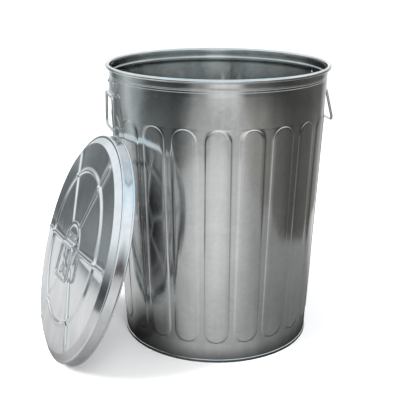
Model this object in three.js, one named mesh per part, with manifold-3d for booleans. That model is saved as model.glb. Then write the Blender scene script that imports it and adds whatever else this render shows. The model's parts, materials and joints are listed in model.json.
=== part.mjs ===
// A round galvanised sheet steel refuse can with two drop handles, and its loose
// lid standing on the floor, leaning on the can's wall under the left handle.
// Millimetres, +Z up. The origin is on the can's axis at floor level and the two
// side handles lie on the X axis.

import * as THREE from 'three';
import { mergeVertices } from 'three/addons/utils/BufferGeometryUtils.js';
import Module from 'manifold-3d';

const wasm = await Module();
wasm.setup();

// ---------------------------------------------------------------- driving sizes

const gap = 0.3;                 // between pieces that rest on each other

const can = {
  height: 686,                   // floor to the top of the rolled rim
  rimRadius: 271.5,              // outside of the rolled rim
  rimRoll: 4.75,                 // outside radius of the rolled tube
  rimOverhang: 8.8,              // how far the rim stands out past the wall's upper end
  bandDepth: 31,                 // rim top down to the wall's upper end
  taper: 28.7,                   // how much the wall's radius shrinks down to the floor
  sheet: 0.9,
};

const groove = { depth: 1.4, drop: 5.5, rise: 3 };   // ring pressed in under the band
const foot = { height: 7.5, bulge: 1.7, crease: 1, lip: 2.2 };   // folded seam it stands on
const panRecess = 5;                                 // floor to the pan's underside

const flute = {
  places: 21,                    // one place is left plain for the side seam
  plainPlace: 0,                 // its number, counted from the first place
  firstAngle: 65.6,              // degrees from +X to the plain place
  width: 57,
  depth: 2.2,                    // how far the panel stands out of the wall
  ramp: 4.5,                     // width of its sloping edge
  topBelowRim: 112,
  footClearance: 53,
};

const handle = {
  drop: 68,                      // rim top down to the hinge wire
  wireRadius: 3.2,
  barrelSheet: 1.2,
  plateTopHalf: 59,
  plateTopClearance: 3.5,        // under the wall's upper end
  bailTopHalf: 44,
  bailBottomHalf: 54,
  bailDrop: 80,
  bailCorner: 12,
  wireBend: 6,
  endPlay: 1,                    // between the barrel's end and the wire's bend
  rightHang: 12,                 // degrees out from plumb at which the right bail rests
  barrelWrap: 320,               // degrees that the barrel's sheet goes round the wire
  flatShare: 1 / 3,              // lower share of the plate that flattens into the barrel
  rivetSpacing: 68,
  rivetHeight: 28,               // above the hinge wire
};

const rivet = { shank: 2.5, head: 4.8, headHeight: 2.4, tailHeight: 1.4, hole: 2.8 };

const lid = {
  rimClearance: 0.5,             // between the can's rim and the inside of the skirt
  skirtDepth: 24.7,              // face corner down to the hem's centre
  hemRadius: 2.2,
  cornerRadius: 3.5,
  ledge: 3.4,                    // flat ring that seats on the can's rim
  shoulderRun: 15,
  shoulderRise: 11,
  crown: 7,                      // how much the face bulges above its edge
  hubRadius: 55,                 // small ring bead round the handle
  hubHalf: 6,
  hubHeight: 1.8,
  beadRadius: 185,               // large ring bead
  beadHalf: 8,
  beadHeight: 2.5,
  sheet: 0.9,
  rise: 3.5,                     // step that lifts the handle's barrel off the face
  turn: 6.7,                     // degrees the lid has rolled from handle level
};

const lidHandle = {
  plateLength: 29.5,
  plateCorner: 5,
  stepAt: 8,
  bailTopHalf: 43,
  bailBottomHalf: 46,
  bailDrop: 80,
  rivetSpacing: 46,
  rivetAt: 20.5,
};

const lean = {
  facing: 185.83,                // degrees from +X to the way the lid's face looks
  tilt: 18.09,                   // degrees the face looks up from level
  sideways: 40.8,                // the lid's centre, along its own level line
};

const wallFacets = 4;            // facets of the wall to each flute place
const roundFacets = 52;

// ---------------------------------------------------------------- small tools

const radians = THREE.MathUtils.degToRad;
const steel = (color, roughness) => new THREE.MeshStandardMaterial({ color, roughness, metalness: 1 });
const finishes = {
  sheet: steel(0x9a9e9f, 0.32),
  lidSheet: steel(0xa6aaab, 0.3),
  wire: steel(0xb4b8b9, 0.3),
  clip: steel(0xa0a4a5, 0.35),
  rivet: steel(0xc0c3c4, 0.3),
};

function toSolid(geometry) {
  const bare = geometry.clone();
  bare.deleteAttribute('normal');
  bare.deleteAttribute('uv');
  const merged = mergeVertices(bare, 1e-4);
  return new wasm.Manifold(new wasm.Mesh({
    numProp: 3,
    vertProperties: merged.attributes.position.array,
    triVerts: new Uint32Array(merged.index.array),
  }));
}

function toGeometry(solid) {
  const mesh = solid.getMesh();
  const geometry = new THREE.BufferGeometry();
  geometry.setAttribute('position', new THREE.BufferAttribute(mesh.vertProperties, 3));
  geometry.setIndex(new THREE.BufferAttribute(mesh.triVerts, 1));
  geometry.computeVertexNormals();
  return geometry;
}

const subtractAll = (geometry, tools) =>
  toGeometry(tools.reduce((solid, tool) => solid.subtract(toSolid(tool)), toSolid(geometry)));

// Points [radius, height] of an arc, with angles in degrees.
function arc(centreR, centreZ, radius, from, to, steps) {
  return Array.from({ length: steps + 1 }, (_, i) => {
    const angle = radians(from + ((to - from) * i) / steps);
    return [centreR + radius * Math.cos(angle), centreZ + radius * Math.sin(angle)];
  });
}

// A ring or disc about Z from a section of [radius, height] points that runs
// anticlockwise; a ring's section is closed, a disc's ends on the axis.
function turned(section, facets, closed = true) {
  const points = section.map(([r, z]) => new THREE.Vector2(r, z));
  if (closed) points.push(points[0].clone());
  return new THREE.LatheGeometry(points, facets).rotateX(Math.PI / 2);
}

function addMesh(group, name, geometry, material) {
  const mesh = new THREE.Mesh(geometry, material);
  mesh.name = name;
  group.add(mesh);
  return mesh;
}

// ---------------------------------------------------------------- can wall

const shoulderZ = can.height - can.bandDepth;
const shoulderRadius = can.rimRadius - can.rimOverhang;
const footRadius = shoulderRadius - can.taper;
const wallSlope = can.taper / shoulderZ;
const wallRadius = (z) => footRadius + wallSlope * z;

const rimCentreR = can.rimRadius - can.rimRoll;
const rimCentreZ = can.height - can.rimRoll;
const rollInside = can.rimRoll - can.sheet;
const rollEnd = -140;            // degrees: the rolled edge stops short of the band
const rollSteps = 7;
const rollFlat = Math.cos(radians((180 - rollEnd) / rollSteps / 2));

const fluteHalf = flute.width / 2;
const fluteTop = can.height - flute.topBelowRim;
const fluteBottom = flute.footClearance;
const fluteAngle = (z) => fluteHalfWidth(z) / shoulderRadius;

// Half the panel's width at a height: the panel's ends are half circles.
function fluteHalfWidth(z) {
  const fromEnd = Math.min(fluteTop - z, z - fluteBottom);
  if (fromEnd >= fluteHalf) return fluteHalf;
  const along = fluteHalf - Math.max(fromEnd, 0);
  return Math.max(Math.sqrt(fluteHalf ** 2 - along ** 2), flute.ramp);
}

function wallSection() {
  const endTip = 1.2;            // first ring inside the panel's round end
  const endSteps = [-flute.ramp, endTip, fluteHalf / 3, fluteHalf];
  const heights = [
    ...endSteps.map((step) => fluteBottom + step),
    ...endSteps.toReversed().map((step) => fluteTop - step),
    shoulderZ,
  ];
  const grooveZ = shoulderZ + groove.drop;
  const grooveR = shoulderRadius - groove.depth;
  const bandOuter = rimCentreR - rollInside;
  const bandInner = rimCentreR - can.rimRoll;
  const inner = (z) => wallRadius(z) - can.sheet;
  const footInner = inner(0);
  return [
    [footRadius + foot.bulge, 0],
    [footRadius + foot.bulge, foot.height - foot.crease],
    [wallRadius(foot.height), foot.height],
    ...heights.map((z) => [wallRadius(z), z]),
    [grooveR, grooveZ],
    [bandOuter, grooveZ + groove.rise],
    ...arc(rimCentreR, rimCentreZ, rollInside, 180, rollEnd, rollSteps),
    ...arc(rimCentreR, rimCentreZ, can.rimRoll, rollEnd, 180, rollSteps),
    [bandInner, grooveZ + groove.rise],
    [grooveR - can.sheet, grooveZ],
    ...heights.toReversed().map((z) => [inner(z), z]),
    [footInner, can.sheet],
    [footInner - foot.lip, can.sheet],
    [footInner - foot.lip, 0],
  ];
}

const rimFacets = flute.places * wallFacets;
const pitch = (2 * Math.PI) / flute.places;
const firstColumn = radians(flute.firstAngle) - pitch / 2 + pitch / wallFacets / 2;

// The wall is turned smooth, then each facet column is moved to an edge of its
// flute and the panel's two columns are pushed out. The rim stays evenly turned.
function flutedWall() {
  const geometry = turned(wallSection(), rimFacets);
  const position = geometry.attributes.position;
  const point = new THREE.Vector3();
  const rampAngle = flute.ramp / 2 / shoulderRadius;
  for (let i = 0; i < position.count; i += 1) {
    point.fromBufferAttribute(position, i);
    const turn = Math.atan2(point.y, point.x);
    const column = Math.round((turn / (2 * Math.PI)) * rimFacets) + rimFacets;
    const place = Math.floor(column / wallFacets) % flute.places;
    const part = column % wallFacets;
    const half = fluteAngle(point.z);
    const edges = [-half - rampAngle, -half + rampAngle, half - rampAngle, half + rampAngle];
    const even = ((part + 0.5) / wallFacets - 0.5) * pitch;
    const besideFlutes = point.z > fluteBottom && point.z < fluteTop;
    const raised = besideFlutes && (part === 1 || part === 2) && place !== flute.plainPlace;
    const radius = Math.hypot(point.x, point.y) + (raised ? flute.depth : 0);
    const offset = besideFlutes ? edges[part] : even;
    const angle = radians(flute.firstAngle) + place * pitch + offset;
    position.setXY(i, radius * Math.cos(angle), radius * Math.sin(angle));
  }
  return geometry;
}

// ---------------------------------------------------------------- handles

const hingeZ = can.height - handle.drop;
const barrelInside = handle.wireRadius + gap;
const barrelOutside = barrelInside + handle.barrelSheet;
const seatRadius = (z) => wallRadius(z) + gap;
const hingeR = seatRadius(hingeZ) + barrelOutside;
const barrelHalf = (bailTopHalf) => bailTopHalf - handle.wireBend - handle.endPlay;

// A bent wire loop in the YZ plane that hangs from the origin; the wire's two
// ends meet in the middle of its top run, inside the barrel.
function bail(topHalf, bottomHalf, drop) {
  const at = (y, z) => new THREE.Vector3(0, y, z);
  const bend = handle.wireBend;
  const corner = handle.bailCorner;
  const splay = (bottomHalf - topHalf) / drop;
  const end = gap;
  const path = new THREE.CurvePath();
  const stops = [
    [at(end, 0), at(topHalf - bend, 0)],
    [at(topHalf + splay * bend, -bend), at(bottomHalf - splay * corner, -drop + corner)],
    [at(bottomHalf - corner, -drop), at(-bottomHalf + corner, -drop)],
    [at(-bottomHalf + splay * corner, -drop + corner), at(-topHalf - splay * bend, -bend)],
    [at(-topHalf + bend, 0), at(-end, 0)],
  ];
  const corners = [at(topHalf, 0), at(bottomHalf, -drop), at(-bottomHalf, -drop), at(-topHalf, 0)];
  stops.forEach(([from, to], i) => {
    path.add(new THREE.LineCurve3(from, to));
    if (corners[i]) path.add(new THREE.QuadraticBezierCurve3(to, corners[i], stops[i + 1][0]));
  });
  const section = new THREE.Shape().absarc(0, 0, handle.wireRadius, 0, 2 * Math.PI, false);
  return new THREE.ExtrudeGeometry(section, { steps: 40, curveSegments: 4, extrudePath: path });
}

// The rolled barrel that holds a bail's top run, along Y at the origin. Its open
// edge is at the upper side, next to the plate at -X.
function barrel(length) {
  const section = new THREE.Shape();
  const wrapEnd = Math.PI + radians(handle.barrelWrap);
  section.absarc(0, 0, barrelOutside, Math.PI, wrapEnd, false);
  section.absarc(0, 0, barrelInside, wrapEnd, Math.PI, true);
  section.closePath();
  const options = { depth: length, steps: 1, curveSegments: 10, bevelEnabled: false };
  return new THREE.ExtrudeGeometry(section, options)
    .translate(0, 0, -length / 2)
    .rotateX(Math.PI / 2);
}

// The ear of a side handle at +X: a plate that follows the wall, wide at its top
// and flat at its foot, where it runs into the barrel.
function sideEar(holes) {
  const bottomZ = hingeZ;
  const topZ = shoulderZ - handle.plateTopClearance;
  const bottomHalf = barrelHalf(handle.bailTopHalf);
  const plate = new THREE.BoxGeometry(1, 1, 1, 1, 12, 3);
  const position = plate.attributes.position;
  for (let i = 0; i < position.count; i += 1) {
    const up = position.getZ(i) + 0.5;
    const z = bottomZ + up * (topZ - bottomZ);
    const half = THREE.MathUtils.lerp(bottomHalf, handle.plateTopHalf, up);
    const side = position.getY(i) * 2 * half;
    const radius = seatRadius(z) + (position.getX(i) + 0.5) * handle.barrelSheet;
    const curve = Math.min(up / handle.flatShare, 1);
    const turn = side / radius;
    const x = THREE.MathUtils.lerp(radius, radius * Math.cos(turn), curve);
    const y = THREE.MathUtils.lerp(side, radius * Math.sin(turn), curve);
    position.setXYZ(i, x, y, z);
  }
  const roll = barrel(2 * bottomHalf).translate(hingeR, 0, hingeZ);
  return subtractAll(toGeometry(toSolid(plate).add(toSolid(roll))), holes);
}

// Points of a domed rivet head: its edge at height z, its crown at z + height.
function headDome(z, height) {
  const ball = (rivet.head ** 2 + height ** 2) / (2 * height);
  const edge = THREE.MathUtils.radToDeg(Math.asin((Math.abs(ball) - Math.abs(height)) / Math.abs(ball)));
  const side = Math.sign(height);
  return arc(0, z + height - ball, Math.abs(ball), side * edge, side * 90, 3);
}

// A rivet along Z through a stack of sheets that starts at z = 0.
function rivetSolid(stack) {
  const low = -gap;
  const high = stack + gap;
  return turned([
    ...headDome(low, -rivet.tailHeight).toReversed(),
    [rivet.shank, low],
    [rivet.shank, high],
    ...headDome(high, rivet.headHeight),
  ], 12, false);
}

const drillLength = 30;          // passes through every stack of sheets
const drill = (matrix) => new THREE.CylinderGeometry(rivet.hole, rivet.hole, drillLength, 12)
  .rotateX(Math.PI / 2)
  .applyMatrix4(matrix);

// Where a side handle's rivets start, on the inside of the wall, square to it.
function sideRivetPlace(side) {
  const z = hingeZ + handle.rivetHeight;
  const turn = (side * handle.rivetSpacing) / 2 / seatRadius(z);
  const pitchDown = Math.atan(wallSlope);
  const radius = wallRadius(z) - can.sheet;
  return new THREE.Matrix4()
    .makeRotationZ(turn)
    .multiply(new THREE.Matrix4().makeTranslation(radius, 0, z))
    .multiply(new THREE.Matrix4().makeRotationY(Math.PI / 2 + pitchDown));
}

const halfTurn = new THREE.Matrix4().makeRotationZ(Math.PI);
const sideStack = can.sheet + gap + handle.barrelSheet;

// ---------------------------------------------------------------- can assembly

const group = new THREE.Group();

const sidePlaces = [-1, 1].map(sideRivetPlace);
const wallDrills = sidePlaces.flatMap((place) => [
  drill(place),
  drill(halfTurn.clone().multiply(place)),
]);
addMesh(group, 'can_wall', subtractAll(flutedWall(), wallDrills), finishes.sheet);

const rimWireRadius = rollInside * rollFlat - gap;
const rimWire = turned(arc(rimCentreR, rimCentreZ, rimWireRadius, 0, 288, 4), rimFacets)
  .rotateZ(firstColumn + Math.PI / 2);
addMesh(group, 'rim_wire', rimWire, finishes.wire);

const panEdge = footRadius - can.sheet - gap;
const panFoot = can.sheet + gap;
const bottomPan = turned([
  [0, panRecess],
  [panEdge - can.sheet, panRecess],
  [panEdge - can.sheet, panFoot],
  [panEdge, panFoot],
  [panEdge, panRecess + can.sheet],
  [0, panRecess + can.sheet],
], roundFacets, false);
addMesh(group, 'bottom_pan', bottomPan, finishes.sheet);

for (const [name, turn, hang] of [['left', Math.PI, 0], ['right', 0, handle.rightHang]]) {
  const side = new THREE.Group();
  side.rotation.z = turn;
  group.add(side);
  addMesh(side, `${name}_ear`, sideEar(sidePlaces.map(drill)), finishes.clip);
  sidePlaces.forEach((place, i) => {
    addMesh(side, `${name}_ear_rivet_${i + 1}`, rivetSolid(sideStack).applyMatrix4(place), finishes.rivet);
  });
  const loop = bail(handle.bailTopHalf, handle.bailBottomHalf, handle.bailDrop)
    .rotateY(-radians(hang));
  addMesh(side, `${name}_bail`, loop, finishes.wire).position.set(hingeR, 0, hingeZ);
}

// ---------------------------------------------------------------- lid

// The lid's own frame has +Z out of its face, with z = 0 on the flat ring that
// seats on the can's rim.
const skirtInner = can.rimRadius + lid.rimClearance;
const skirtOuter = skirtInner + lid.sheet;
const hemCentre = skirtInner + lid.hemRadius;
const ledgeOuter = skirtOuter - lid.cornerRadius;
const shoulderFoot = ledgeOuter - lid.ledge;
const faceEdge = shoulderFoot - lid.shoulderRun;
const faceHeight = (r) => lid.shoulderRise + lid.crown * (1 - (r / faceEdge) ** 2);

function lidSection() {
  const ring = (radius, half, height) => [
    [radius - half, faceHeight(radius - half)],
    [radius, faceHeight(radius) + height],
    [radius + half, faceHeight(radius + half)],
  ];
  const between = (lid.hubRadius + lid.beadRadius) / 2;
  const face = [
    [0, faceHeight(0)],
    ...ring(lid.hubRadius, lid.hubHalf, lid.hubHeight),
    [between, faceHeight(between)],
    ...ring(lid.beadRadius, lid.beadHalf, lid.beadHeight),
    [faceEdge, lid.shoulderRise],
    [shoulderFoot, 0],
  ];
  const corner = arc(ledgeOuter, -lid.cornerRadius, lid.cornerRadius, 90, 0, 3);
  const insideCorner = arc(ledgeOuter, -lid.cornerRadius, lid.cornerRadius - lid.sheet, 90, 0, 2);
  const hemEnd = 470;            // degrees: the rolled edge stops short of the skirt
  const top = [
    ...face,
    ...corner,
    ...arc(hemCentre, -lid.skirtDepth, lid.hemRadius - lid.sheet, 180, hemEnd, 4),
  ];
  const under = [
    ...face.map(([r, z]) => [r, z - lid.sheet]),
    ...insideCorner,
    ...arc(hemCentre, -lid.skirtDepth, lid.hemRadius, 180, hemEnd, 6),
  ];
  return [...under, ...top.toReversed()];
}

// How far the lid's centre stands from the can's axis, measured along the way
// the lid faces, for its hem to rest on the flutes.
function leanDistance() {
  const facing = radians(lean.facing);
  const tilt = radians(lean.tilt);
  const outward = new THREE.Vector2(Math.cos(facing), Math.sin(facing));
  const level = new THREE.Vector2(-Math.sin(facing), Math.cos(facing));
  const upperHem = { from: 30, to: 150, step: 0.5 };
  const clearance = (distance) => {
    let least = Infinity;
    for (let degree = upperHem.from; degree <= upperHem.to; degree += upperHem.step) {
      const along = hemCentre * Math.cos(radians(degree)) + lean.sideways;
      const up = hemCentre * Math.sin(radians(degree));
      const out = distance - lid.skirtDepth * Math.cos(tilt) - up * Math.sin(tilt);
      const z = lidCentreZ - lid.skirtDepth * Math.sin(tilt) + up * Math.cos(tilt);
      const x = outward.x * out + level.x * along;
      const y = outward.y * out + level.y * along;
      const toWall = (Math.hypot(x, y) - wallRadius(z) - flute.depth) * Math.cos(Math.atan(wallSlope));
      least = Math.min(least, toWall - lid.hemRadius);
    }
    return least;
  };
  const halvings = 40;
  let near = footRadius;
  let far = 3 * can.rimRadius;
  for (let i = 0; i < halvings; i += 1) {
    const middle = (near + far) / 2;
    if (clearance(middle) < gap) near = middle;
    else far = middle;
  }
  return far;
}

const lidCentreZ = lid.skirtDepth * Math.sin(radians(lean.tilt))
  + hemCentre * Math.cos(radians(lean.tilt)) + lid.hemRadius;

function leaningFrame() {
  const facing = radians(lean.facing);
  const tilt = radians(lean.tilt);
  const outward = new THREE.Vector3(Math.cos(facing), Math.sin(facing), 0);
  const level = new THREE.Vector3(-Math.sin(facing), Math.cos(facing), 0);
  const normal = outward.clone().multiplyScalar(Math.cos(tilt));
  normal.z = Math.sin(tilt);
  const upward = normal.clone().cross(level);
  const centre = outward.clone().multiplyScalar(leanDistance());
  centre.addScaledVector(level, lean.sideways);
  centre.z = lidCentreZ;
  return new THREE.Matrix4()
    .makeBasis(level, upward, normal)
    .setPosition(centre)
    .multiply(new THREE.Matrix4().makeRotationZ(radians(lid.turn)));
}

// The lid handle's barrel lies along the lid's X, above the face.
const plateZ = faceHeight(0) + gap;
const lidHingeZ = plateZ + lid.rise + barrelOutside;
const lidRivetZ = faceHeight(Math.hypot(lidHandle.rivetSpacing / 2, lidHandle.rivetAt)) - lid.sheet;
const lidRivetPlaces = [-1, 1].map((side) => new THREE.Matrix4()
  .makeTranslation((side * lidHandle.rivetSpacing) / 2, lidHandle.rivetAt, lidRivetZ));

// The plate's side view: flat on the face, stepped up under the barrel. It is
// extruded across the lid and its two far corners are rounded.
function lidEar(holes) {
  const half = barrelHalf(lidHandle.bailTopHalf);
  const sheet = handle.barrelSheet;
  const length = lidHandle.plateLength;
  const corner = lidHandle.plateCorner;
  const low = plateZ;
  const high = plateZ + lid.rise;
  const step = lid.rise;
  const side = new THREE.Shape([
    [0, high], [lidHandle.stepAt, high], [lidHandle.stepAt + step, low], [length, low],
    [length, low + sheet], [lidHandle.stepAt + step + sheet / 2, low + sheet],
    [lidHandle.stepAt + sheet / 2, high + sheet], [0, high + sheet],
  ].map(([y, z]) => new THREE.Vector2(y, z)));
  const strip = new THREE.ExtrudeGeometry(side, { depth: 2 * half, bevelEnabled: false })
    .translate(0, 0, -half)
    .applyMatrix4(new THREE.Matrix4().makeBasis(
      new THREE.Vector3(0, 1, 0), new THREE.Vector3(0, 0, 1), new THREE.Vector3(1, 0, 0)));
  const outline = new THREE.Shape();
  outline.moveTo(-half, -1);
  outline.lineTo(half, -1);
  outline.absarc(half - corner, length - corner, corner, 0, Math.PI / 2, false);
  outline.absarc(-half + corner, length - corner, corner, Math.PI / 2, Math.PI, false);
  outline.closePath();
  const stencil = new THREE.ExtrudeGeometry(outline, {
    depth: lidHingeZ + barrelOutside, curveSegments: 4, bevelEnabled: false,
  });
  const roll = barrel(2 * half)
    .rotateY(Math.PI / 2)
    .rotateZ(-Math.PI / 2)
    .translate(0, 0, lidHingeZ);
  const plate = toSolid(strip).intersect(toSolid(stencil));
  return subtractAll(toGeometry(plate.add(toSolid(roll))), holes);
}

const leaning = new THREE.Group();
leaning.applyMatrix4(leaningFrame());
group.add(leaning);

const lidDrills = lidRivetPlaces.map(drill);
const lidPan = subtractAll(turned(lidSection(), roundFacets, false), lidDrills);
addMesh(leaning, 'lid_pan', lidPan, finishes.lidSheet);
addMesh(leaning, 'lid_ear', lidEar(lidDrills), finishes.clip);

const lidStack = plateZ + handle.barrelSheet - lidRivetZ;
lidRivetPlaces.forEach((place, i) => {
  addMesh(leaning, `lid_ear_rivet_${i + 1}`, rivetSolid(lidStack).applyMatrix4(place), finishes.rivet);
});

// The bail hangs down the face from the barrel, square to it.
const lidLoop = bail(lidHandle.bailTopHalf, lidHandle.bailBottomHalf, lidHandle.bailDrop)
  .applyMatrix4(new THREE.Matrix4().makeBasis(
    new THREE.Vector3(0, 0, 1), new THREE.Vector3(1, 0, 0), new THREE.Vector3(0, 1, 0)));
addMesh(leaning, 'lid_bail', lidLoop, finishes.wire).position.set(0, 0, lidHingeZ);

export default group;
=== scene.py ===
import json
import math

import bmesh
import bpy
from mathutils import Matrix, Vector


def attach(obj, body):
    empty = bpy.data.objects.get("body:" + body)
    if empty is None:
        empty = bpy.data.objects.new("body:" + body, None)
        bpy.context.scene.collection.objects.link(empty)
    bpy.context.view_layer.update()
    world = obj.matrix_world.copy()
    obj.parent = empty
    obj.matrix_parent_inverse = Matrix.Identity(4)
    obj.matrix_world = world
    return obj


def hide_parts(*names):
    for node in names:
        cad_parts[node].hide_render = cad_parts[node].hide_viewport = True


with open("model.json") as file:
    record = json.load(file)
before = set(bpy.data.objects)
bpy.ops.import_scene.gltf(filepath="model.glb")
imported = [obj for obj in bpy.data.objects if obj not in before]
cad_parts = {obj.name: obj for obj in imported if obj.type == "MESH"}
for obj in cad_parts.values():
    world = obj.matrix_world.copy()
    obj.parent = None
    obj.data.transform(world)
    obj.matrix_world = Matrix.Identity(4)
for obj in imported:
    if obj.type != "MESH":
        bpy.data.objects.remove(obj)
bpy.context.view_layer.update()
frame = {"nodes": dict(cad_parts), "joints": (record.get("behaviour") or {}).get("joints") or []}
scene = bpy.context.scene
scene.view_settings.view_transform = "Standard"

# Camera: it stands in front of the can, left of its middle, and looks down into
# the mouth. The can's axis is the Z axis and its two side handles lie along X.
eye = Vector((-0.557, -1.881, 0.965))
heading = math.radians(15.26)       # from +Y towards +X
look_down = math.radians(17.82)
roll = math.radians(0.26)
camera = bpy.data.objects.new("camera", bpy.data.cameras.new("camera"))
camera.data.sensor_width = 36
camera.data.lens = 72.7
camera.matrix_world = (
    Matrix.Translation(eye)
    @ Matrix.Rotation(-heading, 4, "Z")
    @ Matrix.Rotation(math.pi / 2 - look_down, 4, "X")
    @ Matrix.Rotation(roll, 4, "Z")
)
scene.collection.objects.link(camera)
scene.camera = camera


# Studio: a plain pale floor, a pale surround and two soft lamps. The metal alone sees painted reflections
# in place of both: a room bright in front and behind and dim at its sides, the paper that the can stands
# on, with painted shade near the can, and a ceiling.
def add_node(tree, kind, inputs=None, **settings):
    node = tree.nodes.new(kind)
    for name, value in settings.items():
        setattr(node, name, value)
    for name, value in (inputs or {}).items():
        if isinstance(value, bpy.types.NodeSocket):
            tree.links.new(value, node.inputs[name])
        else:
            node.inputs[name].default_value = value
    return node


def math_node(tree, operation, first, second=0.0, clamp=False):
    made = add_node(tree, "ShaderNodeMath", {0: first, 1: second}, operation=operation, use_clamp=clamp)
    return made.outputs[0]


def grey(level):
    return (level, level, level)


def new_tree(name):
    material = bpy.data.materials.new(name)
    material.use_nodes = True
    material.node_tree.nodes.clear()
    return material, material.node_tree


# Each stop is a share of a full turn, from behind the camera round to the right, with a painted reflection
# tone: of the floor beyond the paper, of the paper, and of the backdrop. The last list says how far out
# the painted paper reaches, in parts of paper_reach.
def warm(level):
    return (level * 1.02, level * 1.01, level * 0.95)


def cool(level):
    return (level * 0.92, level, level * 1.02)


# These tones are painted reflections: only the metal sees them.
painted_room_stops = [
    (0.00, grey(0.42)), (0.05, grey(0.50)), (0.11, warm(0.30)), (0.17, warm(0.15)),
    (0.22, warm(0.085)), (0.31, warm(0.12)), (0.36, warm(0.24)), (0.43, grey(0.66)),
    (0.49, grey(1.20)), (0.56, cool(0.75)), (0.62, cool(0.15)), (0.67, cool(0.24)),
    (0.72, cool(0.55)), (0.78, cool(0.18)), (0.88, cool(0.10)), (0.95, grey(0.42)),
]
painted_paper_stops = [
    (0.00, grey(0.78)), (0.05, grey(0.60)), (0.11, grey(0.36)), (0.17, grey(0.28)),
    (0.32, grey(0.30)), (0.39, grey(0.80)), (0.46, grey(1.15)), (0.54, grey(1.10)),
    (0.62, grey(0.84)), (0.77, grey(0.80)), (0.84, grey(0.70)), (0.88, grey(0.46)),
    (0.95, grey(0.68)),
]
painted_backdrop_stops = [
    (0.00, grey(0.85)), (0.04, grey(0.75)), (0.08, grey(0.14)), (0.20, warm(0.05)),
    (0.36, warm(0.12)), (0.43, grey(0.60)), (0.49, grey(1.20)), (0.56, cool(0.75)),
    (0.62, cool(0.15)), (0.66, cool(0.30)), (0.70, cool(0.60)), (0.74, cool(0.40)),
    (0.80, cool(0.08)), (0.90, cool(0.05)), (0.95, grey(0.30)),
]
paper_reach = 3.0
painted_paper_edge = [
    (0.00, grey(0.62)), (0.055, grey(0.56)), (0.11, grey(0.42)), (0.20, grey(0.285)),
    (0.29, grey(0.27)), (0.38, grey(0.35)), (0.46, grey(0.75)), (0.55, grey(0.65)),
    (0.62, grey(0.54)), (0.72, grey(0.45)), (0.85, grey(0.45)), (0.95, grey(0.56)),
]


def compass(tree, vector):
    """Share of a full turn at which a direction or a place lies."""
    parts = add_node(tree, "ShaderNodeSeparateXYZ", {0: vector})
    angle = math_node(tree, "ARCTAN2", parts.outputs["Y"], parts.outputs["X"])
    behind_camera = math.radians(-90) - heading
    turned_by = math_node(tree, "SUBTRACT", angle, behind_camera)
    return math_node(tree, "FRACT", math_node(tree, "MULTIPLY", turned_by, 1 / (2 * math.pi)))


def by_compass(tree, share, stops):
    """The tone at a share of a turn, eased from stop to stop and back to the first."""
    ramp = add_node(tree, "ShaderNodeValToRGB", {0: share})
    full_turn = stops + [(1.0, stops[0][1])]
    elements = ramp.color_ramp.elements
    ramp.color_ramp.interpolation = "EASE"
    while len(elements) < len(full_turn):
        elements.new(0.5)
    for element, (place, tone) in zip(elements, full_turn):
        element.position = place
        element.color = (*tone, 1)
    return ramp.outputs["Color"]


def blend(tree, factor, first, second):
    mixed = add_node(tree, "ShaderNodeMix", {0: factor}, data_type="RGBA")
    for socket, tone in ((mixed.inputs[6], first), (mixed.inputs[7], second)):
        if isinstance(tone, bpy.types.NodeSocket):
            tree.links.new(tone, socket)
        else:
            socket.default_value = (*tone, 1)
    return mixed.outputs[2]


def fade(tree, value, start, stop, low=0.0, high=1.0, curve="LINEAR"):
    """Runs from low to high as the value goes from start to stop."""
    made = add_node(
        tree, "ShaderNodeMapRange",
        {"Value": value, "From Min": start, "From Max": stop, "To Min": low, "To Max": high},
        interpolation_type=curve)
    return made.outputs["Result"]


# The floor: the camera sees it plain. The metal sees it glow with a painted reflection: the paper, with
# painted shade under the can and behind the lid, then the floor beyond it.
floor_size = 8
floor_white = (0.96, 0.96, 0.96, 1)
# The point behind the lid is the middle of a painted shadow on the mirrored paper.
painted_lid_shadow_centre = (-0.30, -0.06, 0)
floor_material, tree = new_tree("pale_floor_and_painted_reflection")
place = add_node(tree, "ShaderNodeTexCoord").outputs["Object"]
share = compass(tree, place)
length = add_node(tree, "ShaderNodeVectorMath", {0: place}, operation="LENGTH").outputs["Value"]
from_lid_shadow_centre = add_node(tree, "ShaderNodeVectorMath", {0: place, 1: painted_lid_shadow_centre}, operation="DISTANCE")
# Painted shade on the mirrored paper: darker towards the can's foot, darkest right at it and behind the
# lid.
painted_foot_shade = fade(tree, length, 0.25, 0.80, low=0.62)
painted_lid_shade = fade(tree, from_lid_shadow_centre.outputs["Value"], 0.05, 0.24, low=0.08)
painted_foot_contact_shadow = fade(tree, length, 0.235, 0.30, low=0.12)
shade = math_node(tree, "MULTIPLY", math_node(tree, "MULTIPLY", painted_foot_shade, painted_foot_contact_shadow), painted_lid_shade)
paper = add_node(tree, "ShaderNodeVectorMath", {
    0: by_compass(tree, share, painted_paper_stops), "Scale": shade}, operation="SCALE").outputs[0]
edge_at = math_node(tree, "MULTIPLY", by_compass(tree, share, painted_paper_edge), paper_reach)
past_edge = math_node(tree, "DIVIDE", math_node(tree, "SUBTRACT", length, edge_at), edge_at)
off_paper = fade(tree, past_edge, -0.03, 0.05, curve="SMOOTHSTEP")
far = fade(tree, length, 2.2, 2.7, curve="SMOOTHSTEP")
painted_far_floor = blend(tree, far, by_compass(tree, share, painted_room_stops), by_compass(tree, share, painted_backdrop_stops))
painted_reflection_tone = blend(tree, off_paper, paper, painted_far_floor)
seen = add_node(tree, "ShaderNodeBsdfDiffuse", {"Color": floor_white})
# Mirrored rays alone see the floor glow with this painted reflection; it is no lamp.
reflection_glow = add_node(tree, "ShaderNodeEmission", {"Color": painted_reflection_tone})
path = add_node(tree, "ShaderNodeLightPath")
both = add_node(tree, "ShaderNodeMixShader", {
    0: path.outputs["Is Glossy Ray"], 1: seen.outputs[0], 2: reflection_glow.outputs[0]})
add_node(tree, "ShaderNodeOutputMaterial", {"Surface": both.outputs[0]})

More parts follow.
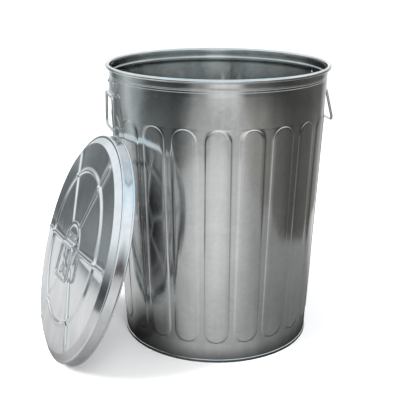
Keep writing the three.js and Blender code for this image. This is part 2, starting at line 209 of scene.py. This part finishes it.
bm = bmesh.new()
bmesh.ops.create_grid(bm, x_segments=1, y_segments=1, size=floor_size / 2)
floor_mesh = bpy.data.meshes.new("floor")
bm.to_mesh(floor_mesh)
bm.free()
floor_mesh.materials.append(floor_material)
floor = bpy.data.objects.new("floor", floor_mesh)
scene.collection.objects.link(floor)

# The surround: white to the camera, pale as light on the floor, and to the metal a painted reflection of
# the backdrop, which fades upwards into a cool ceiling.
painted_low_ceiling, painted_high_ceiling = (0.95, 1.00, 1.03), (0.66, 0.90, 1.05)
pale_strength, white_strength = 0.92, 1.1
world = bpy.data.worlds.new("studio")
world.use_nodes = True
scene.world = world
tree = world.node_tree
tree.nodes.clear()
direction = add_node(tree, "ShaderNodeTexCoord").outputs["Generated"]
share = compass(tree, direction)
climb = add_node(tree, "ShaderNodeSeparateXYZ", {0: direction}).outputs["Z"]
overhead = fade(tree, climb, 0.02, 0.40)
above = fade(tree, climb, 0.70, 0.90)
ceiling = blend(tree, above, painted_low_ceiling, painted_high_ceiling)
room = blend(tree, overhead, by_compass(tree, share, painted_backdrop_stops), ceiling)
path = add_node(tree, "ShaderNodeLightPath")
pale = add_node(tree, "ShaderNodeBackground", {"Color": (1, 1, 1, 1), "Strength": pale_strength})
white = add_node(tree, "ShaderNodeBackground", {"Color": (1, 1, 1, 1), "Strength": white_strength})
# Mirrored rays see this painted reflection of backdrop and ceiling.
dim = add_node(tree, "ShaderNodeBackground", {"Color": room, "Strength": 1.0})
by_ray = add_node(tree, "ShaderNodeMixShader", {
    0: path.outputs["Is Glossy Ray"], 1: pale.outputs[0], 2: dim.outputs[0]})
to_camera = add_node(tree, "ShaderNodeMixShader", {
    0: path.outputs["Is Camera Ray"], 1: by_ray.outputs[0], 2: white.outputs[0]})
add_node(tree, "ShaderNodeOutputWorld", {"Surface": to_camera.outputs[0]})


def soft_light(name, place, aim, size, power):
    """A round lamp that the metal doesn't mirror."""
    lamp = bpy.data.lights.new(name, "AREA")
    lamp.shape = "DISK"
    lamp.size = size
    lamp.energy = power
    made = bpy.data.objects.new(name, lamp)
    made.location = place
    made.rotation_euler = (Vector(aim) - Vector(place)).to_track_quat("-Z", "Y").to_euler()
    made.visible_glossy = False
    scene.collection.objects.link(made)


can_middle = (0, 0, 0.3)
soft_light("key", (-2.4, -0.6, 2.3), can_middle, size=1.8, power=210)
soft_light("fill", (-0.2, -2.6, 2.2), can_middle, size=1.4, power=55)


# Galvanised steel: hot zinc freezes on the sheet in small crystals, and rolling
# leaves faint streaks along it. Each sheet piece sets its own tones and scales.
def new_group(name, inputs, outputs):
    group = bpy.data.node_groups.new(name, "ShaderNodeTree")
    for label, kind in inputs:
        group.interface.new_socket(name=label, in_out="INPUT", socket_type="NodeSocket" + kind)
    for label, kind in outputs:
        group.interface.new_socket(name=label, in_out="OUTPUT", socket_type="NodeSocket" + kind)
    start = group.nodes.new("NodeGroupInput").outputs
    end = group.nodes.new("NodeGroupOutput").inputs
    return group, start, end


zinc_group, start, end = new_group(
    "zinc_skin",
    [("Along Sheet", "Vector"), ("Light", "Color"), ("Dark", "Color"), ("Roughness", "Float"),
     ("Crystal Scale", "Float"), ("Streak Scale", "Float"), ("Crystal Amount", "Float")],
    [("Color", "Color"), ("Roughness", "Float"), ("Height", "Float")],
)
along = start["Along Sheet"]
drift = add_node(zinc_group, "ShaderNodeTexNoise", {"Vector": along, "Scale": 60.0, "Detail": 2.0})
wander = add_node(
    zinc_group, "ShaderNodeVectorMath", {0: drift.outputs["Color"], 1: (0.006,) * 3},
    operation="MULTIPLY").outputs[0]
bent = add_node(
    zinc_group, "ShaderNodeVectorMath", {0: along, 1: wander}, operation="ADD").outputs[0]
crystals = add_node(zinc_group, "ShaderNodeTexVoronoi", {
    "Vector": bent, "Scale": start["Crystal Scale"]})
crystal_tone = add_node(
    zinc_group, "ShaderNodeSeparateColor", {0: crystals.outputs["Color"]}).outputs[0]
stretched = add_node(zinc_group, "ShaderNodeMapping", {
    "Vector": along, "Scale": (1, 1, 0.05)}).outputs[0]
streaks = add_node(zinc_group, "ShaderNodeTexNoise", {
    "Vector": stretched, "Scale": start["Streak Scale"], "Detail": 2.0, "Roughness": 0.5}).outputs["Fac"]
clouds = add_node(zinc_group, "ShaderNodeTexNoise", {
    "Vector": along, "Scale": 14.0, "Detail": 5.0}).outputs["Fac"]


def about_middle(value, amount):
    """Noise about one half becomes a swing either side of nought."""
    return math_node(zinc_group, "MULTIPLY", math_node(zinc_group, "SUBTRACT", value, 0.5), amount)


crystal_part = about_middle(crystal_tone, start["Crystal Amount"])
streak_part = about_middle(streaks, 1.2)
marks = math_node(zinc_group, "ADD", crystal_part, streak_part)
tone_share = math_node(zinc_group, "ADD", marks, clouds, clamp=True)
skin = add_node(zinc_group, "ShaderNodeMix", data_type="RGBA")
zinc_group.links.new(tone_share, skin.inputs[0])
zinc_group.links.new(start["Dark"], skin.inputs[6])
zinc_group.links.new(start["Light"], skin.inputs[7])
zinc_group.links.new(skin.outputs[2], end["Color"])
dulled = math_node(zinc_group, "ADD", start["Roughness"], about_middle(clouds, 0.12))
crystal_dulling = math_node(zinc_group, "MULTIPLY", crystal_part, 0.15)
rough = math_node(zinc_group, "ADD", dulled, crystal_dulling, clamp=True)
zinc_group.links.new(rough, end["Roughness"])
crystal_height = math_node(zinc_group, "MULTIPLY", crystal_tone, 0.01)
height = math_node(zinc_group, "ADD", streaks, crystal_height)
zinc_group.links.new(height, end["Height"])


crystal_amount = 0.2


def zinc_material(name, light, dark, roughness, crystal_scale=110.0, streak_scale=26.0,
                  wave=0.0002, turn=(0, 0, 0)):
    """Zinc with its own tones; wave is the streaks' height, turn lays them along the sheet."""
    material, tree = new_tree(name)
    place = add_node(tree, "ShaderNodeTexCoord").outputs["Object"]
    turned_place = add_node(tree, "ShaderNodeMapping", {"Vector": place, "Rotation": turn}).outputs[0]
    skin = add_node(tree, "ShaderNodeGroup", node_tree=zinc_group)
    tree.links.new(turned_place, skin.inputs["Along Sheet"])
    skin.inputs["Light"].default_value = (*light, 1)
    skin.inputs["Dark"].default_value = (*dark, 1)
    skin.inputs["Roughness"].default_value = roughness
    skin.inputs["Crystal Scale"].default_value = crystal_scale
    skin.inputs["Streak Scale"].default_value = streak_scale
    skin.inputs["Crystal Amount"].default_value = crystal_amount
    bump = add_node(tree, "ShaderNodeBump", {
        "Height": skin.outputs["Height"], "Strength": 1.0, "Distance": wave})
    shader = add_node(tree, "ShaderNodeBsdfPrincipled", {
        "Base Color": skin.outputs["Color"], "Roughness": skin.outputs["Roughness"],
        "Normal": bump.outputs[0], "Metallic": 1.0})
    add_node(tree, "ShaderNodeOutputMaterial", {"Surface": shader.outputs[0]})
    return material


# Can wall: one sheet of galvanised steel 0.9 mm thick, rolled to a taper and
# locked in a seam at the back. Twenty flutes are pressed out of it, a groove
# runs under the lid band, the rim is rolled over a wire, the foot is folded.
sheet = 0.0009
can_height = 0.686
rim_radius = 0.2715
rim_roll = 0.00475
shoulder_radius = 0.2627
band_depth = 0.031
foot_radius = 0.234
groove_depth, groove_drop, groove_rise = 0.0014, 0.0055, 0.003
foot_height, foot_bulge, foot_lip = 0.0075, 0.0017, 0.0022
flute_places, plain_angle = 21, math.radians(65.6)
flute_half, flute_depth, flute_ramp = 0.0285, 0.0013, 0.0040
flute_top, flute_bottom = can_height - 0.112, 0.053
seam_half, seam_height, seam_ramp = 0.005, 0.0009, 0.0015
shoulder_bend, groove_bend, band_bend, foot_bend = 0.0012, 0.0011, 0.0015, 0.0011
shoulder_z = can_height - band_depth
wall_slope = (shoulder_radius - foot_radius) / shoulder_z
rim_centre = (rim_radius - rim_roll, can_height - rim_roll)
flute_columns = 16


def wall_radius(z):
    return foot_radius + wall_slope * z


def arc(centre, radius, start, stop, steps):
    """Points (radius, height) of an arc between two angles in degrees."""
    turns = [math.radians(start + (stop - start) * i / steps) for i in range(steps + 1)]
    return [(centre[0] + radius * math.cos(t), centre[1] + radius * math.sin(t)) for t in turns]


def spread(start, stop, steps):
    return [start + (stop - start) * i / steps for i in range(steps + 1)]


def turn_section(points, steps, closed=True):
    """A ring or a disc about Z, spun from a section of (radius, height) points."""
    bm = bmesh.new()
    verts = [bm.verts.new((r, 0, z)) for r, z in points]
    edges = [bm.edges.new(pair) for pair in zip(verts, verts[1:])]
    if closed:
        edges.append(bm.edges.new((verts[-1], verts[0])))
    bmesh.ops.spin(bm, geom=verts + edges, cent=(0, 0, 0), axis=(0, 0, 1), dvec=(0, 0, 0),
                   angle=2 * math.pi, steps=steps, use_merge=True, use_duplicate=False)
    bmesh.ops.remove_doubles(bm, verts=bm.verts, dist=1e-6)
    return bm


crease_angle = math.radians(40)


def finish_piece(bm, name, material, body, replaces):
    """The mesh becomes a smooth-shaded piece that rides on its body."""
    bmesh.ops.recalc_face_normals(bm, faces=bm.faces)
    mesh = bpy.data.meshes.new(name)
    bm.to_mesh(mesh)
    bm.free()
    mesh.shade_smooth()
    mesh.set_sharp_from_angle(angle=crease_angle)
    mesh.materials.append(material)
    piece = bpy.data.objects.new(name, mesh)
    scene.collection.objects.link(piece)
    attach(piece, body)
    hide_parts(replaces)
    return piece


# The rows of the wall lie close together at both ends of the flutes.
end_rows = [-0.0045, -0.003, -0.002, -0.001, 0, 0.001, 0.002, 0.003, 0.0045, 0.0065, 0.009,
            0.0125, 0.017, 0.022, 0.0285]
wall_rows = ([0.0095, 0.02, 0.034]
             + [flute_bottom + step for step in end_rows]
             + spread(0.14, 0.49, 5)
             + [flute_top - step for step in reversed(end_rows)]
             + [0.60, 0.625, 0.645])
groove_z = shoulder_z + groove_drop
groove_radius = shoulder_radius - groove_depth
band_radius = rim_centre[0] - rim_roll + sheet
band_top = 0.672


def wall_side(offset):
    """One side of the wall from above the foot to under the rim, as (radius, height)."""
    rows = [(wall_radius(z) - offset, z) for z in wall_rows]
    rows += arc((shoulder_radius - shoulder_bend - offset, shoulder_z), shoulder_bend, 0, 70, 4)
    rows += arc((groove_radius + groove_bend - offset, groove_z), groove_bend, 250, 110, 6)
    rows += arc((band_radius - band_bend - offset, groove_z + groove_rise + 0.0004), band_bend, -60, 0, 3)
    rows += [(band_radius - offset, band_top)]
    return rows


wall_section = (
    arc((foot_radius + 0.0006, foot_bend), foot_bend, 270, 360, 4)
    + arc((foot_radius + foot_bulge - foot_bend, foot_height - foot_bend), foot_bend, 0, 80, 4)
    + [(wall_radius(foot_height) + 0.0001, foot_height + 0.0003)]
    + wall_side(0)
    + arc(rim_centre, rim_roll - sheet, 180, -140, 16)
    + arc(rim_centre, rim_roll, -140, 180, 20)
    + list(reversed(wall_side(sheet)))
    + [(foot_radius - sheet, sheet), (foot_radius - sheet - foot_lip, sheet),
       (foot_radius - sheet - foot_lip, 0)]
)


def flute_width(z):
    """Half the flute's width at a height: its ends are half circles."""
    from_end = min(flute_top - z, z - flute_bottom)
    along = flute_half - max(from_end, 0)
    if along <= 0:
        return flute_half
    return math.sqrt(max(flute_half ** 2 - along ** 2, 0))


def smooth(share):
    """Eases from 0 to 1 as the share does."""
    share = min(max(share, 0), 1)
    return share * share * (3 - 2 * share)


def outside_flute(side, z):
    """Distance from a point of the sheet to the flute's outline, negative inside it."""
    straight_low, straight_high = flute_bottom + flute_half, flute_top - flute_half
    beyond = max(straight_low - z, z - straight_high, 0)
    return math.hypot(side, beyond) - flute_half


# From a flute's middle to the end of its place, three of eight columns share its
# flat, three cross its sloping edge and two share the plain wall beside it. The
# foot and everything above the shoulder stay as they were turned.
flat_share, slope_share = 0.375, 0.75
moving_low, moving_high = 0.009, shoulder_z - 0.001
fade_low, fade_high, fade_run = 0.03, 0.6, 0.02
seam_low, seam_high, seam_run = 0.012, 0.64, 0.01
least_half = 0.006
pitch = 2 * math.pi / flute_places
bm = turn_section(wall_section, flute_places * flute_columns)
for vert in bm.verts:
    x, y, z = vert.co
    radius = math.hypot(x, y)
    if z > moving_high or z < moving_low:
        continue
    turn = (math.atan2(y, x) - plain_angle + pitch / 2) % (2 * math.pi)
    place, part = divmod(round(turn / pitch * flute_columns), flute_columns)
    place = place % flute_places
    share = part / flute_columns * 2 - 1          # -1 to 1 across one place
    in_flutes = smooth(min(1, (fade_high - z) / fade_run, (z - fade_low) / fade_run))
    if place == 0:
        half, ramp = seam_half, seam_ramp
    else:
        half, ramp = max(flute_width(z), least_half), flute_ramp
    size = abs(share)
    reach = (half + ramp / 2) / radius
    inside = (half - ramp / 2) / radius
    if size <= flat_share:
        wanted = inside * size / flat_share
    elif size <= slope_share:
        wanted = inside + (reach - inside) * (size - flat_share) / (slope_share - flat_share)
    else:
        wanted = reach + (pitch / 2 - reach) * (size - slope_share) / (1 - slope_share)
    even = size * pitch / 2
    offset = math.copysign(even + (wanted - even) * in_flutes, share)
    if place == 0:
        lift = seam_height * smooth((seam_half + seam_ramp / 2 - abs(offset) * radius) / seam_ramp)
        lift *= smooth((seam_high - z) / seam_run) * smooth((z - seam_low) / seam_run)
    else:
        lift = flute_depth * smooth(0.5 - outside_flute(offset * radius, z) / flute_ramp)
    angle = plain_angle + place * pitch + offset
    vert.co = ((radius + lift) * math.cos(angle), (radius + lift) * math.sin(angle), z)

can_zinc = zinc_material("can_zinc", (0.82, 0.83, 0.82), (0.62, 0.64, 0.64), 0.14)
finish_piece(bm, "wall", can_zinc, "can", "can_wall")


# Rim wire: a steel wire that the rim's sheet is rolled over to stiffen the mouth.
# None of it shows, so its frame piece stays and only takes a finish.
wire_steel = zinc_material("bright_wire", (0.84, 0.85, 0.86), (0.62, 0.64, 0.66), 0.20,
                           crystal_scale=400.0, streak_scale=90.0, wave=0.00008)
frame["nodes"]["rim_wire"].data.materials.clear()
frame["nodes"]["rim_wire"].data.materials.append(wire_steel)


# Bottom: a shallow dish of the same sheet, its edge turned down into the foot
# seam, with one ring pressed up into it for stiffness.
pan_edge = foot_radius - sheet - 0.0003
pan_low = 0.005
ring_radius, ring_half, ring_height = 0.150, 0.012, 0.003


def pressed_ring(middle, half, height, steps=8):
    """Points (radius, rise) across a flat-topped ring pressed out of a sheet."""
    return [(middle + half * s, height * smooth((1 - abs(s)) / 0.55)) for s in spread(-1, 1, steps)]


def pan_side(z, edge, corner):
    """One side of the dish from its middle to its turned edge, as (radius, height)."""
    ring = [(r, z + rise) for r, rise in pressed_ring(ring_radius, ring_half, ring_height)]
    return [(0, z), (0.07, z)] + ring + [(0.2, z)] + arc((edge - corner, z - corner), corner, 90, 0, 4)


pan_section = (
    pan_side(pan_low + sheet, pan_edge, 0.0018)
    + [(pan_edge, sheet + 0.0003), (pan_edge - sheet, sheet + 0.0003)]
    + list(reversed(pan_side(pan_low, pan_edge - sheet, 0.0012)))
)
bm = turn_section(pan_section, 160, closed=False)
pan_zinc = zinc_material("pan_zinc", (0.66, 0.67, 0.68), (0.40, 0.42, 0.44), 0.34)
finish_piece(bm, "bottom_dish", pan_zinc, "can", "bottom_pan")


# Ears: steel plates riveted to the wall and to the lid. The lower edge of each
# is rolled into a barrel that holds the handle's wire.
wire_radius = 0.0032
ear_sheet = 0.0012
gap = 0.0003
barrel_outside = wire_radius + gap + ear_sheet
barrel_middle = barrel_outside - ear_sheet / 2
end_play = 0.001
wire_bend, bail_corner = 0.006, 0.012
ear_zinc = zinc_material("ear_zinc", (0.92, 0.93, 0.93), (0.74, 0.76, 0.78), 0.30,
                         crystal_scale=260.0, streak_scale=60.0)


def rolled_plate(side_view, half_widths, lay, columns=24):
    """A sheet whose side view is a line of (out, up) points and whose half width is
    given at each; lay puts a point (row, out, across, up) where it belongs."""
    bm = bmesh.new()
    last = len(side_view) - 1
    bmesh.ops.create_grid(bm, x_segments=columns, y_segments=last, size=1)
    for vert in bm.verts:
        row = round((vert.co.y + 1) / 2 * last)
        out, up = side_view[row]
        vert.co = lay(row, out, vert.co.x * half_widths[row], up)
    return bm


def thicken(piece, thickness):
    """Gives a sheet piece its thickness, half to each side, and softens its edges."""
    shell = piece.modifiers.new("sheet", "SOLIDIFY")
    shell.thickness = thickness
    shell.offset = 0
    soft = piece.modifiers.new("worn_edge", "BEVEL")
    soft.width = thickness * 0.25
    soft.segments = 2
    soft.limit_method = "ANGLE"
    soft.angle_limit = math.radians(50)
    piece.modifiers.new("even_shade", "WEIGHTED_NORMAL")


hinge_z = can_height - 0.068
plate_base = wall_radius(hinge_z) + gap
hinge_radius = plate_base + barrel_outside
side_barrel_half = 0.044 - wire_bend - end_play
plate_top, plate_top_half = shoulder_z - 0.0035, 0.059
plate_rows = spread(plate_top, hinge_z, 10)[:-1]
side_view = [(ear_sheet / 2, z - hinge_z) for z in plate_rows]
side_view += arc((barrel_outside, 0), barrel_middle, 180, 492, 26)
plate_height = plate_top - hinge_z
half_widths = [side_barrel_half + (plate_top_half - side_barrel_half) * (z - hinge_z) / plate_height
               for z in plate_rows]
half_widths += [side_barrel_half] * (len(side_view) - len(plate_rows))


def lay_on_wall(row, out, across, up):
    """The plate follows the wall and flattens towards the barrel."""
    if row >= len(plate_rows):
        return Vector((plate_base + out, across, hinge_z + up))
    radius = wall_radius(hinge_z + up) + gap + out
    turn = across / radius
    curved = min(3 * up / plate_height, 1)
    flat = Vector((radius, across, hinge_z + up))
    round_wall = Vector((radius * math.cos(turn), radius * math.sin(turn), hinge_z + up))
    return flat.lerp(round_wall, curved)


# Rivets: soft steel with a domed head outside and a flatter one inside. Handles:
# round wire bent to a loop, its ends meeting inside the barrel.
rivet_head, rivet_shank = 0.0048, 0.0025
tail_height, head_height = 0.0014, 0.0024


def dome(z, height, steps=6):
    """Points (radius, height) from the edge of a rivet's head to its crown."""
    ball = (rivet_head ** 2 + height ** 2) / (2 * height)
    edge = math.degrees(math.asin((abs(ball) - abs(height)) / abs(ball)))
    side = math.copysign(1, height)
    return arc((0, z + height - ball), abs(ball), side * edge, side * 90, steps)


def rivet(stack, place):
    """A rivet along Z through sheets of that total thickness, then put in place."""
    low, high = -gap, stack + gap
    shank = [(rivet_shank, low), (rivet_shank, high)]
    section = dome(low, -tail_height)[::-1] + shank + dome(high, head_height)
    bm = turn_section(section, 24, closed=False)
    bmesh.ops.transform(bm, matrix=place, verts=bm.verts)
    return bm


def wire_loop(top_half, bottom_half, drop, place):
    """A wire loop in the YZ plane that hangs from the origin, then put in place."""
    bm = bmesh.new()
    ring = bmesh.ops.create_circle(bm, segments=16, radius=wire_radius)["verts"]
    bmesh.ops.rotate(bm, verts=ring, cent=(0, 0, 0), matrix=Matrix.Rotation(math.pi / 2, 3, "X"))
    swept = ring + bm.edges[:]
    at = Vector((0, 0, 0))
    corners = [(top_half, 0, wire_bend), (bottom_half, -drop, bail_corner),
               (-bottom_half, -drop, bail_corner), (-top_half, 0, wire_bend), (0, 0, 0)]
    for i, (across, up, bend) in enumerate(corners):
        corner = Vector((0, across, up))
        way = (corner - at).normalized()
        turn, ahead = 0.0, way
        if bend:
            after = Vector((0, *corners[i + 1][:2])) - corner
            ahead = after.normalized()
            turn = way.angle(ahead)
        stop = corner - way * bend * math.tan(turn / 2)
        swept = bmesh.ops.spin(bm, geom=swept, cent=(0, 0, 0), axis=(1, 0, 0), dvec=(stop - at) / 2,
                               angle=0, steps=2, use_duplicate=False)["geom_last"]
        at = stop
        if bend:
            towards = Vector((0, way.z, -way.y))
            swept = bmesh.ops.spin(bm, geom=swept, cent=stop + towards * bend, axis=(1, 0, 0),
                                   dvec=(0, 0, 0), angle=-turn, steps=10, use_duplicate=False)["geom_last"]
            at = corner + ahead * bend * math.tan(turn / 2)
    bmesh.ops.remove_doubles(bm, verts=bm.verts, dist=1e-6)
    bmesh.ops.transform(bm, matrix=place, verts=bm.verts)
    return bm


rivet_steel = zinc_material("rivet_steel", (0.88, 0.88, 0.88), (0.60, 0.61, 0.62), 0.24,
                            crystal_scale=500.0, streak_scale=200.0, wave=0.00005)
rivet_half_turn = 0.034
rivet_z = hinge_z + 0.028
right_hang = math.radians(12)        # out from plumb, held by its stiff barrel
sides = {"left": (Matrix.Rotation(math.pi, 4, "Z"), 0), "right": (Matrix.Identity(4), right_hang)}
for side, (turned, hang) in sides.items():
    bm = rolled_plate(side_view, half_widths, lay_on_wall)
    bmesh.ops.transform(bm, matrix=turned, verts=bm.verts)
    thicken(finish_piece(bm, f"{side}_ear_plate", ear_zinc, "can", f"{side}_ear"), ear_sheet)
    for number, way in ((1, -1), (2, 1)):
        place = (
            turned
            @ Matrix.Rotation(way * rivet_half_turn / (wall_radius(rivet_z) + gap), 4, "Z")
            @ Matrix.Translation((wall_radius(rivet_z) - sheet, 0, rivet_z))
            @ Matrix.Rotation(math.pi / 2 + math.atan(wall_slope), 4, "Y")
        )
        name = f"{side}_ear_rivet_{number}"
        finish_piece(rivet(sheet + gap + ear_sheet, place), f"{name}_head", rivet_steel, "can", name)
    place = turned @ Matrix.Translation((hinge_radius, 0, hinge_z)) @ Matrix.Rotation(-hang, 4, "Y")
    finish_piece(wire_loop(0.044, 0.054, 0.080, place), f"{side}_wire_loop", wire_steel,
                 f"{side}_handle", f"{side}_bail")


# Lid: one pressed sheet with a crowned face, a sloping shoulder, a ledge that
# seats on the rim, and a skirt with a rolled hem. Two rings and six ribs are
# pressed out of the face, and it stands on the floor, leaning on the can.
joints = {joint["name"]: joint for joint in frame["joints"]}
lid_out = Vector(joints["lid_lift_away"]["axis"]).normalized()
lid_across = -Vector(joints["lid_handle_swing"]["axis"]).normalized()
lid_up = lid_out.cross(lid_across)
face_edge, face_rise, face_crown = 0.251, 0.011, 0.007
lid_rise = 0.0035
lid_hinge_z = face_rise + face_crown + gap + lid_rise + barrel_outside
lid_origin = Vector(joints["lid_handle_swing"]["pos_m"]) - lid_out * lid_hinge_z
lid_place = Matrix((lid_across, lid_up, lid_out)).transposed().to_4x4()
lid_place.translation = lid_origin
skirt_outer = rim_radius + 0.0005 + sheet
hem_roll, skirt_depth = 0.0022, 0.0247
hem_centre = (rim_radius + 0.0005 + hem_roll, -skirt_depth)
lid_corner = 0.0035
shoulder_foot = skirt_outer - lid_corner - 0.0034
hub_radius, hub_half, hub_height = 0.055, 0.006, 0.0018
bead_radius, bead_half, bead_height = 0.185, 0.0085, 0.0036
rib_half, rib_height = 0.0075, 0.0032
rib_places, rib_columns, rib_share = 6, 20, 0.4    # the share of columns that lie on a rib
rib_start, rib_end, rib_flank = 0.056, 0.2495, 0.7
face_rows = (0, 0.015, 0.03, 0.042, 0.068, 0.08, 0.095, 0.11, 0.125, 0.14,
             0.155, 0.168, 0.2, 0.212, 0.224, 0.234, 0.241, 0.245)


def face_z(radius):
    return face_rise + face_crown * (1 - (radius / face_edge) ** 2)


def fillet(before, corner, after, radius, steps=5):
    """Points of the arc that rounds a corner between two straight lines."""
    before, corner, after = Vector(before), Vector(corner), Vector(after)
    back, on = (before - corner).normalized(), (after - corner).normalized()
    half = back.angle(on) / 2
    first, last = corner + back * radius / math.tan(half), corner + on * radius / math.tan(half)
    return [tuple(first.lerp(corner, s).lerp(corner.lerp(last, s), s)) for s in spread(0, 1, steps)]


def stepped_ring(middle, half, height, steps=12):
    """Points (radius, rise) across a ring that is steep inside and slopes off outside."""
    crest = -0.4
    points = []
    for s in spread(-1, 1, steps):
        share = (s + 1) / (crest + 1) if s < crest else (1 - s) / (1 - crest)
        points.append((middle + half * s, height * smooth(share)))
    return points


def lid_side(drop):
    """One side of the lid's sheet from its centre to the hem, drop below the outside."""
    rings = [(r, face_z(r) + rise) for r, rise in (
        pressed_ring(hub_radius, hub_half, hub_height, 10)
        + stepped_ring(bead_radius, bead_half, bead_height))]
    face = sorted(rings + [(r, face_z(r)) for r in face_rows])
    edge, foot, ledge = (face_edge, face_rise), (shoulder_foot, 0), (skirt_outer - lid_corner, 0)
    rows = face + fillet(face[-1], edge, foot, 0.0022) + fillet(edge, foot, ledge, 0.0012)
    rows = [(r, z - drop) for r, z in rows]
    rows += arc((skirt_outer - lid_corner, -lid_corner), lid_corner - drop, 90, 0, 6)
    return rows + [(skirt_outer - drop, -skirt_depth * 0.5)]


lid_section = (
    lid_side(0)
    + arc(hem_centre, hem_roll - sheet, 180, 470, 8)
    + arc(hem_centre, hem_roll, 470, 180, 12)
    + lid_side(sheet)[::-1]
)
half_pitch = math.pi / rib_places
bm = turn_section(lid_section, rib_places * rib_columns, closed=False)
for vert in bm.verts:
    x, y, z = vert.co
    radius = math.hypot(x, y)
    if radius < 0.03 or radius > rib_end:
        continue
    turn = math.atan2(y, x) / math.pi * (rib_places / 2) + 0.5
    place, part = divmod(round(turn * rib_columns), rib_columns)
    share = part / rib_columns * 2 - 1
    size = abs(share)
    half_turn = rib_half / radius
    if size <= rib_share:
        wanted = half_turn * size / rib_share
    else:
        wanted = half_turn + (half_pitch - half_turn) * (size - rib_share) / (1 - rib_share)
    even = size * math.pi / rib_places
    gathered = smooth((radius - 0.04) / 0.02) * smooth((rib_end - radius) / 0.006)
    offset = even + (wanted - even) * gathered
    ends = smooth((radius - rib_start) / 0.008) * smooth((rib_end - radius) / 0.0045)
    lift = rib_height * ends * smooth((1 - offset * radius / rib_half) / rib_flank)
    angle = place * math.pi / 3 + math.copysign(offset, share)
    vert.co = (radius * math.cos(angle), radius * math.sin(angle), z + lift)
bmesh.ops.transform(bm, matrix=lid_place, verts=bm.verts)
sheet_turn = Matrix((lid_across, -lid_out, lid_up)).to_euler()
lid_zinc = zinc_material("lid_zinc", (0.88, 0.90, 0.91), (0.70, 0.72, 0.74), 0.14, turn=sheet_turn)
finish_piece(bm, "lid_sheet", lid_zinc, "lid", "lid_pan")


# Lid handle: a plate riveted flat to the face, stepped up under its barrel, and
# a wire loop that hangs down the face.
plate_z = face_rise + face_crown + gap
step_at, plate_length = 0.008, 0.0295
lid_plate = [(plate_z, plate_length), (plate_z, 0.022), (plate_z, 0.0165), (plate_z, step_at + 0.0042),
             (plate_z + 0.0006, step_at + 0.0030), (plate_z + lid_rise - 0.0006, step_at + 0.0006),
             (plate_z + lid_rise, step_at - 0.0006), (plate_z + lid_rise, 0)]
lid_plate = [(out + ear_sheet / 2, up) for out, up in lid_plate]
lid_plate += arc((lid_hinge_z, 0), barrel_middle, 180, 492, 26)[1:]
lid_barrel_half = 0.043 - wire_bend - end_play
half_widths = [lid_barrel_half - 0.0012] + [lid_barrel_half] * (len(lid_plate) - 1)


def lay_on_lid(row, out, across, up):
    """The plate lies flat on the lid's face."""
    return lid_place @ Vector((across, up, out))


bm = rolled_plate(lid_plate, half_widths, lay_on_lid)
thicken(finish_piece(bm, "lid_ear_plate", ear_zinc, "lid", "lid_ear"), ear_sheet)
lid_rivet_across, lid_rivet_up = 0.023, 0.0205
lid_rivet_z = face_z(math.hypot(lid_rivet_across, lid_rivet_up)) - sheet
lid_stack = plate_z + ear_sheet - lid_rivet_z
for number, way in ((1, -1), (2, 1)):
    place = lid_place @ Matrix.Translation((way * lid_rivet_across, lid_rivet_up, lid_rivet_z))
    name = f"lid_ear_rivet_{number}"
    finish_piece(rivet(lid_stack, place), f"{name}_head", rivet_steel, "lid", name)
loop_place = lid_place @ Matrix.Translation((0, 0, lid_hinge_z)) @ Matrix((
    (0, 1, 0, 0), (0, 0, 1, 0), (1, 0, 0, 0), (0, 0, 0, 1)))
finish_piece(wire_loop(0.043, 0.046, 0.080, loop_place), "lid_wire_loop", wire_steel,
             "lid_handle", "lid_bail")
